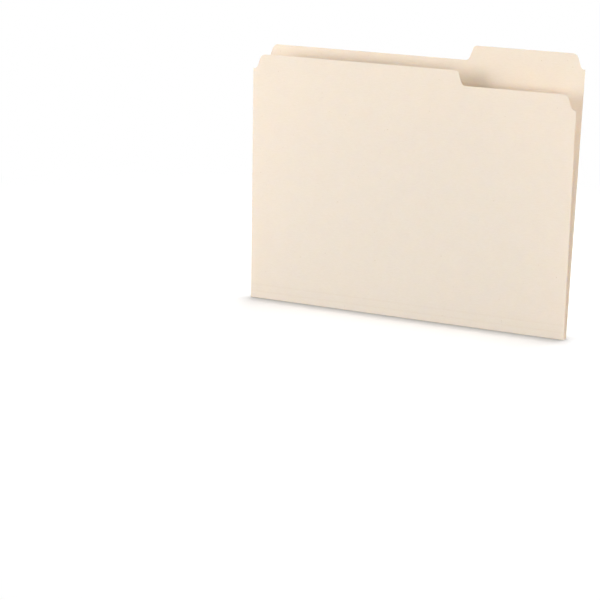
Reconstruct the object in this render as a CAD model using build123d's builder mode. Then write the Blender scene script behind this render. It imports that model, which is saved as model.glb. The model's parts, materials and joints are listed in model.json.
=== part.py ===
# Manila folder: one die-cut sheet of card, scored and folded, made as its panels and creases.
# Millimetres. +X runs along the fold to the right, +Y to the back, +Z up. The origin is on the
# table, under the middle of the bottom strip.
import os
from math import cos, radians, sin

from build123d import *

# Sheet
sheet_width = 298.45
card = 0.28
back_height = 228.6
front_height = 227.8

# Die-cut steps: the tab, the undercut that bares it, and the outer corners
step_height = 12.7
step_slope = 4.6
step_radius = 3.5
tab_width = 102.3
undercut_margin = 1.0
corner_ledge = 3.4
corner_radius = 5.5

# Scored bottom
score_pitch = 6.35
crease_gap = 0.05

# Rest pose: how far each leaf leans out from upright, in degrees
leaf_lean = 2.0

# Worked out from the sizes above
crease_radius = card / 2
panel_inset = crease_radius + crease_gap
strip_width = score_pitch - 2 * panel_inset
left = -sheet_width / 2
right = sheet_width / 2
tab_left = right - tab_width
undercut_left = tab_left - undercut_margin
lean_out = sin(radians(leaf_lean))
lean_up = cos(radians(leaf_lean))

# Leaf planes start on the crease that the leaf rises from; their local Y runs up the leaf
fold_point = Vector(0, score_pitch / 2, crease_radius)
first_score_point = Vector(0, -score_pitch / 2, crease_radius)
back_plane = Plane(fold_point, x_dir=(1, 0, 0), z_dir=(0, -lean_up, lean_out))
front_plane = Plane(first_score_point, x_dir=(1, 0, 0), z_dir=(0, -lean_up, -lean_out))
second_score_point = front_plane.from_local_coords(Vector(0, score_pitch, 0))
third_score_point = front_plane.from_local_coords(Vector(0, 2 * score_pitch, 0))
leaf_plane = Plane(third_score_point, x_dir=(1, 0, 0), z_dir=front_plane.z_dir)


# Outline of a leaf, counter-clockwise from its lower left corner. The same step is cut at both
# outer corners and at step_x, where the left two thirds meet the right third.
def leaf_outline(left_level, right_level, step_x):
    return [
        (left, panel_inset),
        (right, panel_inset),
        (right, right_level - step_height),
        (right - corner_ledge, right_level - step_height),
        (right - corner_ledge - step_slope, right_level),
        (step_x + step_slope / 2, right_level),
        (step_x - step_slope / 2, left_level),
        (left + corner_ledge + step_slope, left_level),
        (left + corner_ledge, left_level - step_height),
        (left, left_level - step_height),
    ]


# Square corners at the crease and at the side edges, round ones on every step
outer_step = [step_radius, corner_radius]
inner_step = [step_radius, step_radius]
outline_radii = [0, 0, 0] + outer_step + inner_step + outer_step[::-1] + [0]

os.makedirs("parts", exist_ok=True)

# Back leaf with the tab on its right third
with BuildPart() as back_leaf:
    with BuildSketch(back_plane):
        with BuildLine():
            FilletPolyline(
                leaf_outline(back_height, back_height + step_height, tab_left),
                radius=outline_radii,
                close=True,
            )
        make_face()
    extrude(amount=card / 2, both=True)
back_leaf.part.label = "back_leaf"
export_step(back_leaf.part, "parts/back_leaf.step")

# Front leaf, undercut on its right third so that the tab shows
front_leaf_height = front_height - 3 * score_pitch
with BuildPart() as front_leaf:
    with BuildSketch(leaf_plane):
        with BuildLine():
            FilletPolyline(
                leaf_outline(front_leaf_height, front_leaf_height - step_height, undercut_left),
                radius=outline_radii,
                close=True,
            )
        make_face()
    extrude(amount=card / 2, both=True)
front_leaf.part.label = "front_leaf"
export_step(front_leaf.part, "parts/front_leaf.step")

# Bottom strip, flat on the table between the main fold and the first score
with BuildPart() as bottom_strip:
    with BuildSketch(Plane.XY):
        Rectangle(sheet_width, strip_width)
    extrude(amount=card)
bottom_strip.part.label = "bottom_strip"
export_step(bottom_strip.part, "parts/bottom_strip.step")

# The two strips above the first score, in line with the front leaf at rest
for number, strip_name in enumerate(["second_strip", "third_strip"]):
    with BuildPart() as strip:
        with BuildSketch(front_plane):
            with Locations((0, (number + 0.5) * score_pitch)):
                Rectangle(sheet_width, strip_width)
        extrude(amount=card / 2, both=True)
    strip.part.label = strip_name
    export_step(strip.part, f"parts/{strip_name}.step")

# Creases: the round spine of the card along each line that it folds on
crease_points = {
    "main_fold": fold_point,
    "first_score": first_score_point,
    "second_score": second_score_point,
    "third_score": third_score_point,
}
for crease_name, crease_point in crease_points.items():
    with BuildPart() as crease:
        with BuildSketch(Plane.YZ.offset(left)):
            with Locations((crease_point.Y, crease_point.Z)):
                Circle(crease_radius)
        extrude(amount=sheet_width)
    crease.part.label = crease_name
    export_step(crease.part, f"parts/{crease_name}.step")
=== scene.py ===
import json
import math

import bpy
import numpy as np
from mathutils import Matrix, Vector


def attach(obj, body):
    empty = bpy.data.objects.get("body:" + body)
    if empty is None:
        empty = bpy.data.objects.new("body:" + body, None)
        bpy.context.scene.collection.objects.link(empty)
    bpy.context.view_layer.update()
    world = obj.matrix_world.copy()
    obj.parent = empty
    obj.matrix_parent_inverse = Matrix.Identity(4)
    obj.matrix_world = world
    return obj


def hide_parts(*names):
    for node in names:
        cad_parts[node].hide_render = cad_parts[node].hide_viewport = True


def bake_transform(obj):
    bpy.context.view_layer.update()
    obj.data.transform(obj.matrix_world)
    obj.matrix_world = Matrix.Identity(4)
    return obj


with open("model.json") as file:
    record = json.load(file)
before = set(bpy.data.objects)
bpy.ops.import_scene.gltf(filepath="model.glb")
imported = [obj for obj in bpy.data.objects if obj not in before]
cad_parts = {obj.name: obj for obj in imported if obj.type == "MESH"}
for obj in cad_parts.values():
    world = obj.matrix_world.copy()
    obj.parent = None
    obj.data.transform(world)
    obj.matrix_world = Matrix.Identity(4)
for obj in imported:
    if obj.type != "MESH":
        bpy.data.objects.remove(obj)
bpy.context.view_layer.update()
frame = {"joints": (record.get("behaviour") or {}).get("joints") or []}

# Sizes of the folder in metres, the same as in the CAD part
WIDTH = 0.29845
CARD = 0.00028
PITCH = 0.00635
SCORED_STRIPS = 3
LEAN = math.radians(2.0)
BACK_HEIGHT = 0.2286
FRONT_HEIGHT = 0.2278
STEP_HEIGHT = 0.0127
STEP_SLOPE = 0.0046
STEP_RADIUS = 0.0035
TAB_WIDTH = 0.1023
UNDERCUT_MARGIN = 0.001
CORNER_LEDGE = 0.0034
CORNER_RADIUS = 0.0055

# How a leaf sits: it opens wider at the left and bows inward, most at its right end
SPLAY = math.radians(0.343)
BOW = 0.00022
BOW_MIDDLE_SHARE = 0.55
BOW_RIGHT_EXTRA = 0.45

# How uneven a leaf is: the most that its waves add up to, their number and lengths, the height
# over which they set in, and the seed of each leaf
COCKLE = 0.0001
COCKLE_WAVES = 6
COCKLE_LENGTHS = (0.05, 0.16)
COCKLE_START = 0.02
BACK_SEED = 11
FRONT_SEED = 23

# Creases: half their width along the sheet, the radius of a fold, the depth and half width of the
# groove of a flat score
CREASE_HALF = 0.0007
FOLD_RADIUS = 0.00045
SCORE_DEPTH = 0.00004
SCORE_HALF = 0.00022

# Cut edges: the size of their bevel, and the bands of faces round them, which are bevel, cut, bevel
EDGE_BEVEL = 0.00005
EDGE_BANDS = 3

# Fineness of the meshes. TOP_SPACING is the widest step of an upper edge along x and in height,
# TOP_BAND how far below that edge the rows begin to follow it, and SLOPE_STEP the distance over
# which a leaf's slope is taken
ARC_STEPS = 8
TOP_SPACING = np.array([0.003, 0.001])
TOP_BAND = 0.005
TOP_ROWS = 16
LEVEL_ROWS = 62
STRIP_COLUMNS = 101
STRIP_ROWS = 6
CREASE_ROWS = 25
SLOPE_STEP = 0.0005
SHARP_ANGLE = math.radians(30)

# Places worked out from the sizes and the joints
LEFT = -WIDTH / 2
RIGHT = WIDTH / 2
TAB_LEFT = RIGHT - TAB_WIDTH
UNDERCUT_LEFT = TAB_LEFT - UNDERCUT_MARGIN
FRONT_START = SCORED_STRIPS * PITCH
FRONT_LEVEL = FRONT_HEIGHT - FRONT_START
joints = {joint["name"]: Vector(joint["pos_m"]) for joint in frame["joints"]}
MAIN_FOLD = joints["back_swing"]
FIRST_SCORE = joints["bottom_spread"]
SECOND_SCORE = joints["second_score_turn"]
THIRD_SCORE = joints["front_swing"]

# Directions up each leaf, along the bottom, and out of each of them, as (y, z)
BACK_UP = np.array([math.sin(LEAN), math.cos(LEAN)])
BACK_OUT = np.array([math.cos(LEAN), -math.sin(LEAN)])
FRONT_UP = np.array([-math.sin(LEAN), math.cos(LEAN)])
FRONT_OUT = np.array([-math.cos(LEAN), -math.sin(LEAN)])
ALONG_BOTTOM = np.array([-1.0, 0.0])
DOWN = np.array([0.0, -1.0])

# Colour, roughness and strength of the flecks of the card, and of the card at its creases and cut
# edges
MANILA = ((0.897, 0.779, 0.667), 0.78, 0.45)
# Darker than the card: painted shade in the creases
SHADED_CREASE = ((0.888, 0.766, 0.65), 0.74, 0.45)
# Lighter than the card: a painted highlight along the cut edges
CUT_EDGE_HIGHLIGHT = ((0.907, 0.835, 0.76), 0.86, 0.2)

# Pattern of the card, in waves or cells per metre of the flat sheet. PATTERN_LAYERS is its depth
# at the outer face, the inner face, and the ring round the edge of each
CLOUD_SCALE = 70.0
FIBRE_SCALE = (260.0, 1100.0, 40.0)
SPECK_SCALE = 260.0
PATCH_SCALE = 190.0
TOOTH_SCALE = 2600.0
PATTERN_LAYERS = (0.0, 0.7, 0.2, 0.5)

# Clouds and fibres: the values between which their colours change, the tones of the clouds as
# shares of the card's colour, and the tint between the fibres with the share of it that shows
WHITE = (1, 1, 1, 1)
CLOUD_RANGE = (0.3, 0.7)
CLOUD_TONES = (0.99, 1.006)
FIBRE_RANGE = (0.36, 0.6)
FIBRE_TINT = (0.965, 0.955, 0.93, 1)
FIBRE_SHARE = 0.6

# Flecks: where one fades out, in cells from its middle, and where the patches with flecks begin
FLECK_COLOUR = (0.55, 0.40, 0.24, 1)
SPECK_RANGE = (0.05, 0.16)
PATCH_RANGE = (0.6, 0.68)

# Surface of the card, and the light that passes a little way through it and comes out warm
ROUGHNESS_CHANGE = 0.06
RELIEF_STRENGTH = 0.22
RELIEF_DEPTH = 0.00004
SPECULAR = 0.15
TRANSLUCENCY = 0.35
TRANSLUCENT_REACH = 0.0006
TRANSLUCENT_REACH_OF_RGB = (1.0, 0.76, 0.45)

# Softboxes round the object, as name, turn from the front, height angle and watts
LAMPS = [
    ("far_left_softbox", -75, 8, 6.0),
    ("left_softbox", -45, 8, 8.6),
    ("right_softbox", 35, 8, 4.5),
    ("far_right_softbox", 75, 8, 9.2),
    ("top_softbox", 180, 78, 8.6),
    ("back_right_softbox", 155, 10, 4.0),
    ("back_left_softbox", 205, 10, 4.0),
]
LAMP_SIZE = 0.6
LAMP_DISTANCE = 1.3
LAMP_AIM = Vector((0, 0, 0.12))
AMBIENT = 0.15

# The floor shows white to the camera, with the shadow near the object; as a light it is duller
FLOOR_SIZE = 24
FLOOR_GLOW = 0.16
FLOOR_BOUNCE = 0.35
SHADOW_REACH = (0.35, 0.8)
CONTACT_REACH = 0.024

# Camera: its direction, the point that it is set by, how far that point lies ahead of it and to
# the right of and above the middle of the picture, and the focal length in pixels of the picture
AZIMUTH = math.radians(25.599)
ELEVATION = math.radians(12.489)
ROLL = math.radians(1.984)
SIGHT_POINT = Vector((0, 0, 0.115))
SIGHT_AHEAD = 1.825254
SIGHT_RIGHT = 0.094814
SIGHT_ABOVE = 0.097103
FOCAL_PIXELS = 2104.107
PICTURE_PIXELS = 600
SENSOR_WIDTH = 36
CLIP_RANGE = (0.05, 60)


def turned(way, angle):
    """A direction in a plane, turned by an angle or by each angle of an array."""
    c, s = np.cos(angle), np.sin(angle)
    return np.stack([way[0] * c - way[1] * s, way[0] * s + way[1] * c], -1)


def turn_between(first, second):
    """The angle from one direction in a plane to another."""
    return math.atan2(first[0] * second[1] - first[1] * second[0], first @ second)


def round_corner(before, here, after, radius):
    """Points of the arc that rounds a corner of a line."""
    u = (before - here) / np.linalg.norm(before - here)
    v = (after - here) / np.linalg.norm(after - here)
    half = math.acos(float(np.clip(u @ v, -1, 1))) / 2
    run = radius / math.tan(half)
    centre = here + (u + v) / np.linalg.norm(u + v) * radius / math.sin(half)
    start = here + u * run - centre
    turn = turn_between(start, here + v * run - centre)
    return [centre + turned(start, turn * k / ARC_STEPS) for k in range(ARC_STEPS + 1)]


def divided(line):
    """A line with points added where they are further apart than TOP_SPACING."""
    points = [line[0]]
    for p, q in zip(line, line[1:]):
        count = max(1, math.ceil(max(np.abs(q - p) / TOP_SPACING)))
        points += [p + (q - p) * k / count for k in range(1, count + 1)]
    return np.array(points)


def top_edge(left_level, right_level, step_x):
    """Upper edge of a leaf from left to right as an array of (x, height), with round steps."""
    corners = np.array([
        (LEFT, left_level - STEP_HEIGHT),
        (LEFT + CORNER_LEDGE, left_level - STEP_HEIGHT),
        (LEFT + CORNER_LEDGE + STEP_SLOPE, left_level),
        (step_x - STEP_SLOPE / 2, left_level),
        (step_x + STEP_SLOPE / 2, right_level),
        (RIGHT - CORNER_LEDGE - STEP_SLOPE, right_level),
        (RIGHT - CORNER_LEDGE, right_level - STEP_HEIGHT),
        (RIGHT, right_level - STEP_HEIGHT),
    ])
    outer_step = [STEP_RADIUS, CORNER_RADIUS]
    radii = outer_step + [STEP_RADIUS, STEP_RADIUS] + outer_step[::-1]
    line = [corners[0]]
    for before, here, after, radius in zip(corners, corners[1:], corners[2:], radii):
        line += round_corner(before, here, after, radius)
    line.append(corners[-1])
    return divided(line)


def leaf_rows(edge):
    """Heights of a leaf's grid: level rows below, rows that follow the upper edge above."""
    knee = edge[:, 1].min() - TOP_BAND
    below = np.linspace(CREASE_HALF, knee, LEVEL_ROWS)
    share = np.linspace(0, 1, TOP_ROWS + 1)[1:]
    above = knee + (edge[:, 1:] - knee) * share
    return np.concatenate([np.tile(below, (len(edge), 1)), above], 1)


def in_space(x, yz, tilt, facing):
    """Points from their x and (y, z), and unit normals from their x and (y, z)."""
    points = np.concatenate([x[..., None], yz], -1)
    normals = np.concatenate([tilt[..., None], facing], -1)
    return points, normals / np.linalg.norm(normals, axis=-1, keepdims=True)


def uneven(seed):
    """The unevenness of a leaf, as a function of x and height, in metres."""
    rng = np.random.default_rng(seed)
    waves = []
    for _ in range(COCKLE_WAVES):
        way = rng.uniform(-1, 1, 2) * 2 * math.pi / rng.uniform(*COCKLE_LENGTHS)
        waves.append((way, rng.uniform(0, 2 * math.pi)))

    def depth(x, h):
        total = sum(np.sin(way[0] * x + way[1] * h + phase) for way, phase in waves)
        return total / COCKLE_WAVES * COCKLE

    return depth


def leaf_place(foot, up, out, length, seed):
    """Where the middle of a leaf's card is, and which way it faces, at x and height h."""
    cockle = uneven(seed)

    def sag(x, h):
        rise = np.maximum(h, 0)
        splay = -np.tan(SPLAY * x / RIGHT) * rise
        bow_share = BOW_MIDDLE_SHARE + BOW_RIGHT_EXTRA * x / RIGHT
        bow = -BOW * np.sin(math.pi * np.clip(rise / length, 0, 1)) * bow_share
        return splay + bow + cockle(x, h) * np.clip(rise / COCKLE_START, 0, 1)

    def place(x, h):
        slope_x = (sag(x + SLOPE_STEP, h) - sag(x - SLOPE_STEP, h)) / (2 * SLOPE_STEP)
        slope_h = (sag(x, h + SLOPE_STEP) - sag(x, h - SLOPE_STEP)) / (2 * SLOPE_STEP)
        yz = np.array(foot.yz) + h[..., None] * up + sag(x, h)[..., None] * out
        return in_space(x, yz, -slope_x, out - slope_h[..., None] * up)

    return place


def strip_place(foot, along, out):
    """Where a flat strip's card is and faces, at x and distance s from the crease it starts on."""
    def place(x, s):
        yz = np.array(foot.yz) + s[..., None] * along
        return in_space(x, yz, np.zeros_like(x), np.broadcast_to(out, yz.shape))

    return place


def score_place(axis, along, out):
    """Where a flat score's card is and faces, at x and distance s from its axis.

    A groove is pressed into its outside.
    """
    def place(x, s):
        press = SCORE_DEPTH * np.exp(-((s / SCORE_HALF) ** 2))
        slope = press * 2 * s / SCORE_HALF ** 2
        yz = np.array(axis.yz) + s[..., None] * along - press[..., None] * out
        return in_space(x, yz, np.zeros_like(x), out - slope[..., None] * along)

    return place


def fold_place(axis, along_in, along_out, out_in):
    """Where a fold's card is and faces, at x and distance s from its axis.

    The card is straight up to the bend, round in it, and straight again.
    """
    turn = turn_between(along_in, along_out)
    run = FOLD_RADIUS * math.tan(abs(turn) / 2)
    arc = FOLD_RADIUS * abs(turn)
    straight = CREASE_HALF - run
    centre = np.array(axis.yz) - along_in * run - out_in * FOLD_RADIUS

    def place(x, s):
        t = (s + CREASE_HALF) / (2 * CREASE_HALF) * (2 * straight + arc)
        facing = turned(out_in, np.clip((t - straight) / arc, 0, 1) * turn)
        yz = centre + facing * FOLD_RADIUS
        yz = yz + np.minimum(t - straight, 0)[..., None] * along_in
        yz = yz + np.maximum(t - straight - arc, 0)[..., None] * along_out
        return in_space(x, yz, np.zeros_like(x), facing)

    return place


def crease_place(axis, along_in, along_out, out_in):
    """A crease is a flat score where the card goes straight on, and a fold where it turns."""
    if np.allclose(along_in, along_out):
        return score_place(axis, along_in, out_in)
    return fold_place(axis, along_in, along_out, out_in)


def drawn_in(x, rows, free_top):
    """The grid of a card's faces, which end a bevel short of the cut edges."""
    face_x, face_rows = x.copy(), rows.copy()
    face_x[0, :] += EDGE_BEVEL
    face_x[-1, :] -= EDGE_BEVEL
    if free_top:
        run = np.gradient(x[:, -1])
        rise = np.gradient(rows[:, -1])
        size = np.hypot(run, rise)
        face_x[1:-1, -1] += (rise / size)[1:-1] * EDGE_BEVEL
        face_rows[:, -1] -= run / size * EDGE_BEVEL
    return face_x, face_rows


def card_points(x, rows, loop, place, free_top):
    """Points of a card's outer face, its inner face, and a ring round the edge of each."""
    centre, normal = [part.reshape(-1, 3) for part in place(x, rows)]
    face_centre, face_normal = [part.reshape(-1, 3) for part in place(*drawn_in(x, rows, free_top))]
    outer = face_centre + face_normal * CARD / 2
    inner = face_centre - face_normal * CARD / 2
    ring_depth = CARD / 2 - EDGE_BEVEL
    outer_ring = (centre + normal * ring_depth)[loop]
    inner_ring = (centre - normal * ring_depth)[loop]
    return np.concatenate([outer, inner, outer_ring, inner_ring])


def band_faces(ring, next_ring):
    """Faces between two closed rings of points."""
    return np.stack([np.roll(ring, -1), ring, next_ring, np.roll(next_ring, -1)], 1)


def card_faces(ids, loop, points):
    """Faces of a card's two sides and of the bands round its edge, turned to look outward."""
    a, b = ids[:-1, :-1].ravel(), ids[1:, :-1].ravel()
    c, d = ids[1:, 1:].ravel(), ids[:-1, 1:].ravel()
    outer = np.stack([a, b, c, d], 1)
    inner = np.stack([a, d, c, b], 1) + ids.size
    outer_ring = 2 * ids.size + np.arange(len(loop))
    rings = [loop, outer_ring, outer_ring + len(loop), loop + ids.size]
    bands = [band_faces(ring, next_ring) for ring, next_ring in zip(rings, rings[1:])]
    faces = np.concatenate([outer, inner, *bands])
    sample = outer[len(outer) // 2]
    corner, second, third = points[sample[:3]]
    outward = corner - points[sample[0] + ids.size]
    if np.cross(second - corner, third - corner) @ outward < 0:
        faces = faces[:, ::-1]
    return faces


def face_materials(across, up, free_top):
    """Material of each face of a piece that is so many faces across and up.

    It is 0 on the two sides and at a seam with the next piece, and 1 at a cut edge.
    """
    step = np.arange(2 * (across + up))
    seam = step < across
    if not free_top:
        seam |= (step >= across + up) & (step < 2 * across + up)
    sides = np.zeros(2 * across * up, int)
    return np.concatenate([sides, np.tile(np.where(seam, 0, 1), EDGE_BANDS)])


def card_piece(name, xs, rows, place, sheet_start, sheet_way, free_top, materials):
    """A closed piece of card over a grid of x and rows, with softened cut edges.

    A row lies at sheet_start + sheet_way * row on the flat sheet, whose pattern the material
    follows. The first row is always a seam; the last one is a cut edge if free_top is set.
    """
    columns, row_count = rows.shape
    x = np.repeat(np.asarray(xs)[:, None], row_count, 1)
    ids = np.arange(x.size).reshape(x.shape)
    loop = np.concatenate([ids[:, 0], ids[-1, 1:], ids[-2::-1, -1], ids[0, -2:0:-1]])
    points = card_points(x, rows, loop, place, free_top)
    faces = card_faces(ids, loop, points)
    mesh = bpy.data.meshes.new(name)
    mesh.from_pydata(points.tolist(), [], faces.tolist())
    index = face_materials(columns - 1, row_count - 1, free_top)
    mesh.polygons.foreach_set("material_index", index.astype(np.int32))
    mesh.polygons.foreach_set("use_smooth", np.ones(len(faces), bool))
    mesh.set_sharp_from_angle(angle=SHARP_ANGLE)

    grid = np.stack([x.ravel(), (sheet_start + sheet_way * rows).ravel()], 1)
    sheet = np.concatenate([grid, grid, grid[loop], grid[loop]])
    layer = np.repeat(PATTERN_LAYERS, [len(grid), len(grid), len(loop), len(loop)])
    flat = mesh.attributes.new("flat", "FLOAT_VECTOR", "POINT")
    flat.data.foreach_set("vector", np.column_stack([sheet, layer]).astype(np.float32).ravel())
    mesh.update()
    piece = bpy.data.objects.new(name, mesh)
    bpy.context.scene.collection.objects.link(piece)
    for material in materials:
        mesh.materials.append(material)
    return piece


def node(tree, kind, **inputs):
    """A new shader node with values set on its inputs; _ in a name stands for a space."""
    made = tree.nodes.new(kind)
    for name, value in inputs.items():
        made.inputs[name.replace("_", " ")].default_value = value
    return made


def noise(tree, vector, **inputs):
    """The value of a noise texture."""
    made = node(tree, "ShaderNodeTexNoise", **inputs)
    tree.links.new(vector, made.inputs["Vector"])
    return made.outputs["Fac"]


def ranged(tree, value, start, end, low, high, interpolation="LINEAR"):
    """A value that goes from low to high as another goes from start to end."""
    made = node(tree, "ShaderNodeMapRange", From_Min=start, From_Max=end, To_Min=low, To_Max=high)
    made.interpolation_type = interpolation
    tree.links.new(value, made.inputs["Value"])
    return made.outputs["Result"]


def calculated(tree, operation, first, second):
    """The result of an operation on two values."""
    made = node(tree, "ShaderNodeMath")
    made.operation = operation
    tree.links.new(first, made.inputs[0])
    tree.links.new(second, made.inputs[1])
    return made.outputs["Value"]


def ramp(tree, value, positions, colours):
    """A colour that goes from the first to the second of two as a value passes two positions."""
    made = node(tree, "ShaderNodeValToRGB")
    for stop, position, colour in zip(made.color_ramp.elements, positions, colours):
        stop.position = position
        stop.color = colour
    tree.links.new(value, made.inputs["Fac"])
    return made.outputs["Color"]


def colour_mix(tree, blend, factor, first, second):
    """A mix of two colours. The factor and the colours are outputs of nodes or plain values."""
    made = node(tree, "ShaderNodeMix")
    made.data_type = "RGBA"
    made.blend_type = blend
    for name, source in (("Factor", factor), ("A", first), ("B", second)):
        if isinstance(source, bpy.types.NodeSocket):
            tree.links.new(source, made.inputs[name])
        else:
            made.inputs[name].default_value = source
    return made.outputs["Result"]


def fleck_mask(tree, sheet, strength):
    """Where the flecks are: in the middle of the cells of a pattern, in a few patches."""
    speck = node(tree, "ShaderNodeTexVoronoi", Scale=SPECK_SCALE, Randomness=1.0)
    tree.links.new(sheet, speck.inputs["Vector"])
    near = ranged(tree, speck.outputs["Distance"], *SPECK_RANGE, 1.0, 0.0)
    patch = noise(tree, sheet, Scale=PATCH_SCALE, Detail=2.0)
    often = ranged(tree, patch, *PATCH_RANGE, 0.0, strength)
    return calculated(tree, "MULTIPLY", near, often)


def card_material(name, tint, roughness, fleck):
    """Manila card: cloudy formation, short fibres lying along the sheet, a few brown flecks."""
    made = bpy.data.materials.new(name)
    made.use_nodes = True
    tree = made.node_tree
    link = tree.links.new
    shader = tree.nodes["Principled BSDF"]
    place = node(tree, "ShaderNodeAttribute")
    place.attribute_name = "flat"
    sheet = place.outputs["Vector"]
    stretch = node(tree, "ShaderNodeMapping", Scale=FIBRE_SCALE)
    link(sheet, stretch.inputs["Vector"])
    stretched = stretch.outputs["Vector"]
    fibre = noise(tree, stretched, Scale=1.0, Detail=6.0, Roughness=0.65, Distortion=0.8)

    # Colour
    cloud = noise(tree, sheet, Scale=CLOUD_SCALE, Detail=5.0, Roughness=0.6)
    tones = [[channel * share for channel in tint] + [1] for share in CLOUD_TONES]
    tone = ramp(tree, cloud, CLOUD_RANGE, tones)
    strand = ramp(tree, fibre, FIBRE_RANGE, (FIBRE_TINT, WHITE))
    woven = colour_mix(tree, "MULTIPLY", FIBRE_SHARE, tone, strand)
    flecked = colour_mix(tree, "MIX", fleck_mask(tree, sheet, fleck), woven, FLECK_COLOUR)
    link(flecked, shader.inputs["Base Color"])

    # Roughness and relief
    rough = ranged(tree, fibre, 0.0, 1.0, roughness - ROUGHNESS_CHANGE, roughness + ROUGHNESS_CHANGE)
    link(rough, shader.inputs["Roughness"])
    tooth = noise(tree, sheet, Scale=TOOTH_SCALE, Detail=3.0, Roughness=0.6)
    bump = node(tree, "ShaderNodeBump", Strength=RELIEF_STRENGTH, Distance=RELIEF_DEPTH)
    link(calculated(tree, "ADD", tooth, fibre), bump.inputs["Height"])
    link(bump.outputs["Normal"], shader.inputs["Normal"])

    # Gloss and translucency
    shader.inputs["Specular IOR Level"].default_value = SPECULAR
    shader.inputs["Subsurface Weight"].default_value = TRANSLUCENCY
    shader.inputs["Subsurface Radius"].default_value = TRANSLUCENT_REACH_OF_RGB
    shader.inputs["Subsurface Scale"].default_value = TRANSLUCENT_REACH
    return made


def softbox(name, turn, rise, power):
    """A square lamp that points at the object and isn't seen itself."""
    light = bpy.data.lights.new(name, "AREA")
    light.shape = "SQUARE"
    light.size = LAMP_SIZE
    light.energy = power
    turn, rise = math.radians(turn), math.radians(rise)
    way = Vector((math.sin(turn) * math.cos(rise), -math.cos(turn) * math.cos(rise), math.sin(rise)))
    made = bpy.data.objects.new(name, light)
    made.location = LAMP_AIM + way * LAMP_DISTANCE
    made.rotation_euler = way.to_track_quat("Z", "Y").to_euler()
    made.visible_camera = False
    bpy.context.scene.collection.objects.link(made)


def shown_rays(tree):
    """A socket that is 1 for rays that show the surroundings: from the camera, a gloss or glass."""
    ray = node(tree, "ShaderNodeLightPath")
    shown = ray.outputs["Is Camera Ray"]
    for name in ("Is Glossy Ray", "Is Transmission Ray"):
        shown = calculated(tree, "MAXIMUM", shown, ray.outputs[name])
    return shown


def mixed(tree, factor, first, second):
    """A node that mixes the shaders of two others."""
    mix = node(tree, "ShaderNodeMixShader")
    tree.links.new(factor, mix.inputs[0])
    tree.links.new(first.outputs[0], mix.inputs[1])
    tree.links.new(second.outputs[0], mix.inputs[2])
    return mix


def floor_material():
    """Lit by the lamps near the object, darker where it touches, and plain white further away."""
    made = bpy.data.materials.new("floor_white")
    made.use_nodes = True
    tree = made.node_tree
    link = tree.links.new
    tree.nodes.remove(tree.nodes["Principled BSDF"])
    contact = node(tree, "ShaderNodeAmbientOcclusion", Distance=CONTACT_REACH)
    table = node(tree, "ShaderNodeBsdfDiffuse")
    glow = node(tree, "ShaderNodeEmission", Strength=FLOOR_GLOW)
    near = node(tree, "ShaderNodeAddShader")
    for part, slot in zip((table, glow), near.inputs):
        link(contact.outputs["AO"], part.inputs["Color"])
        link(part.outputs[0], slot)
    far = node(tree, "ShaderNodeEmission", Color=WHITE, Strength=1.0)
    where = node(tree, "ShaderNodeNewGeometry")
    away = node(tree, "ShaderNodeVectorMath")
    away.operation = "LENGTH"
    link(where.outputs["Position"], away.inputs[0])
    distance = away.outputs["Value"]
    reach = ranged(tree, distance, *SHADOW_REACH, 0.0, 1.0, interpolation="SMOOTHSTEP")
    seen = mixed(tree, reach, near, far)
    bounce = node(tree, "ShaderNodeBsdfDiffuse", Color=(FLOOR_BOUNCE, FLOOR_BOUNCE, FLOOR_BOUNCE, 1))
    shader = mixed(tree, shown_rays(tree), bounce, seen)
    link(shader.outputs[0], tree.nodes["Material Output"].inputs["Surface"])
    return made


def surroundings():
    """White all round for the camera, softer as a light."""
    world = bpy.data.worlds.new("studio")
    world.use_nodes = True
    tree = world.node_tree
    light = tree.nodes["Background"]
    light.inputs["Color"].default_value = WHITE
    light.inputs["Strength"].default_value = AMBIENT
    white = node(tree, "ShaderNodeBackground", Color=WHITE, Strength=1.0)
    shader = mixed(tree, shown_rays(tree), light, white)
    tree.links.new(shader.outputs[0], tree.nodes["World Output"].inputs["Surface"])
    bpy.context.scene.world = world


def photo_camera():
    """A camera at the photo's viewing angle."""
    ahead = Vector((-math.sin(AZIMUTH), math.cos(AZIMUTH), 0))
    look = ahead * math.cos(ELEVATION) - Vector((0, 0, math.sin(ELEVATION)))
    level = Vector((math.cos(AZIMUTH), math.sin(AZIMUTH), 0))
    upright = level.cross(look)
    across = level * math.cos(ROLL) + upright * math.sin(ROLL)
    upward = upright * math.cos(ROLL) - level * math.sin(ROLL)
    lens = bpy.data.cameras.new("camera")
    lens.sensor_width = SENSOR_WIDTH
    lens.lens = FOCAL_PIXELS / PICTURE_PIXELS * SENSOR_WIDTH
    lens.clip_start, lens.clip_end = CLIP_RANGE
    camera = bpy.data.objects.new("camera", lens)
    stand = SIGHT_POINT - look * SIGHT_AHEAD - across * SIGHT_RIGHT - upward * SIGHT_ABOVE
    turn = Matrix((across, upward, -look)).transposed().to_4x4()
    camera.matrix_world = Matrix.Translation(stand) @ turn
    bpy.context.scene.collection.objects.link(camera)
    return camera


manila = card_material("manila_card", *MANILA)
# The crease card is darker than the rest, as painted shade in the creases
shaded_crease = card_material("creased_card", *SHADED_CREASE)
# The cut edge card is lighter than the rest, as a painted highlight along the cut edges
cut_edge_highlight = card_material("cut_edge_highlight", *CUT_EDGE_HIGHLIGHT)

# Leaves
back_edge = top_edge(BACK_HEIGHT, BACK_HEIGHT + STEP_HEIGHT, TAB_LEFT)
back = card_piece(
    "back_leaf_card", back_edge[:, 0], leaf_rows(back_edge),
    leaf_place(MAIN_FOLD, BACK_UP, BACK_OUT, BACK_HEIGHT, BACK_SEED),
    sheet_start=0, sheet_way=-1, free_top=True, materials=[manila, cut_edge_highlight],
)
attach(back, "back")
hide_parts("back_leaf")

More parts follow.
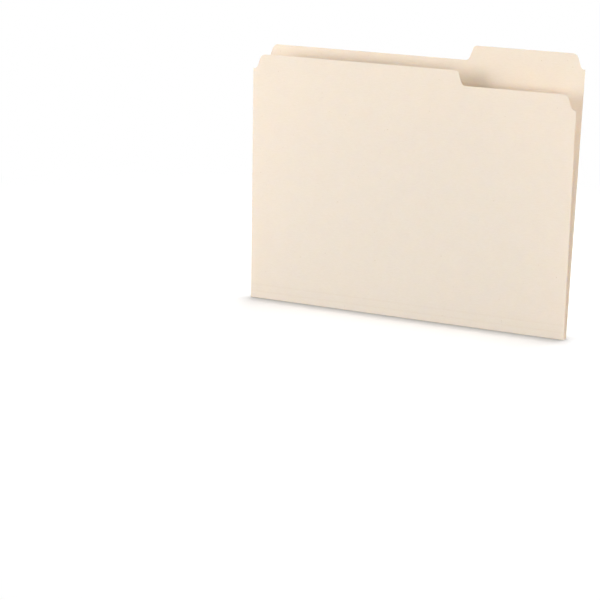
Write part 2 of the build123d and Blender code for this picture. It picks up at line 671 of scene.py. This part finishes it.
front_edge = top_edge(FRONT_LEVEL, FRONT_LEVEL - STEP_HEIGHT, UNDERCUT_LEFT)
front = card_piece(
    "front_leaf_card", front_edge[:, 0], leaf_rows(front_edge),
    leaf_place(THIRD_SCORE, FRONT_UP, FRONT_OUT, FRONT_LEVEL, FRONT_SEED),
    sheet_start=FRONT_START, sheet_way=1, free_top=True, materials=[manila, cut_edge_highlight],
)
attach(front, "front")
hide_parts("front_leaf")

# Strips between the creases, in their order on the sheet
strip_x = np.linspace(LEFT, RIGHT, STRIP_COLUMNS)
strip_s = np.tile(np.linspace(CREASE_HALF, PITCH - CREASE_HALF, STRIP_ROWS), (STRIP_COLUMNS, 1))
strips = [
    ("bottom_strip", "bottom", MAIN_FOLD, ALONG_BOTTOM, DOWN),
    ("second_strip", "lower_strip", FIRST_SCORE, FRONT_UP, FRONT_OUT),
    ("third_strip", "upper_strip", SECOND_SCORE, FRONT_UP, FRONT_OUT),
]
for order, (name, body, foot, along, out) in enumerate(strips):
    piece = card_piece(
        name + "_card", strip_x, strip_s, strip_place(foot, along, out),
        sheet_start=order * PITCH, sheet_way=1, free_top=False, materials=[manila, cut_edge_highlight],
    )
    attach(piece, body)
    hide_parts(name)

# Creases join two panels: a fold where the card turns, a score where it goes straight on
crease_s = np.tile(np.linspace(-CREASE_HALF, CREASE_HALF, CREASE_ROWS), (STRIP_COLUMNS, 1))
creases = [
    ("main_fold", "back", "bottom", MAIN_FOLD, -BACK_UP, ALONG_BOTTOM, BACK_OUT),
    ("first_score", "bottom", "lower_strip", FIRST_SCORE, ALONG_BOTTOM, FRONT_UP, DOWN),
    ("second_score", "lower_strip", "upper_strip", SECOND_SCORE, FRONT_UP, FRONT_UP, FRONT_OUT),
    ("third_score", "upper_strip", "front", THIRD_SCORE, FRONT_UP, FRONT_UP, FRONT_OUT),
]
for order, (name, body_in, body_out, axis, along_in, along_out, out_in) in enumerate(creases):
    piece = card_piece(
        name + "_card", strip_x, crease_s, crease_place(axis, along_in, along_out, out_in),
        sheet_start=order * PITCH, sheet_way=1, free_top=False, materials=[shaded_crease, cut_edge_highlight],
    )
    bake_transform(piece)
    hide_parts(name)

# Studio
for lamp in LAMPS:
    softbox(*lamp)
surroundings()
bpy.ops.mesh.primitive_plane_add(size=FLOOR_SIZE, location=(0, 0, 0))
floor = bpy.context.object
floor.name = "floor"
floor.data.materials.append(floor_material())
bpy.context.scene.camera = photo_camera()
bpy.context.scene.view_settings.view_transform = "Standard"
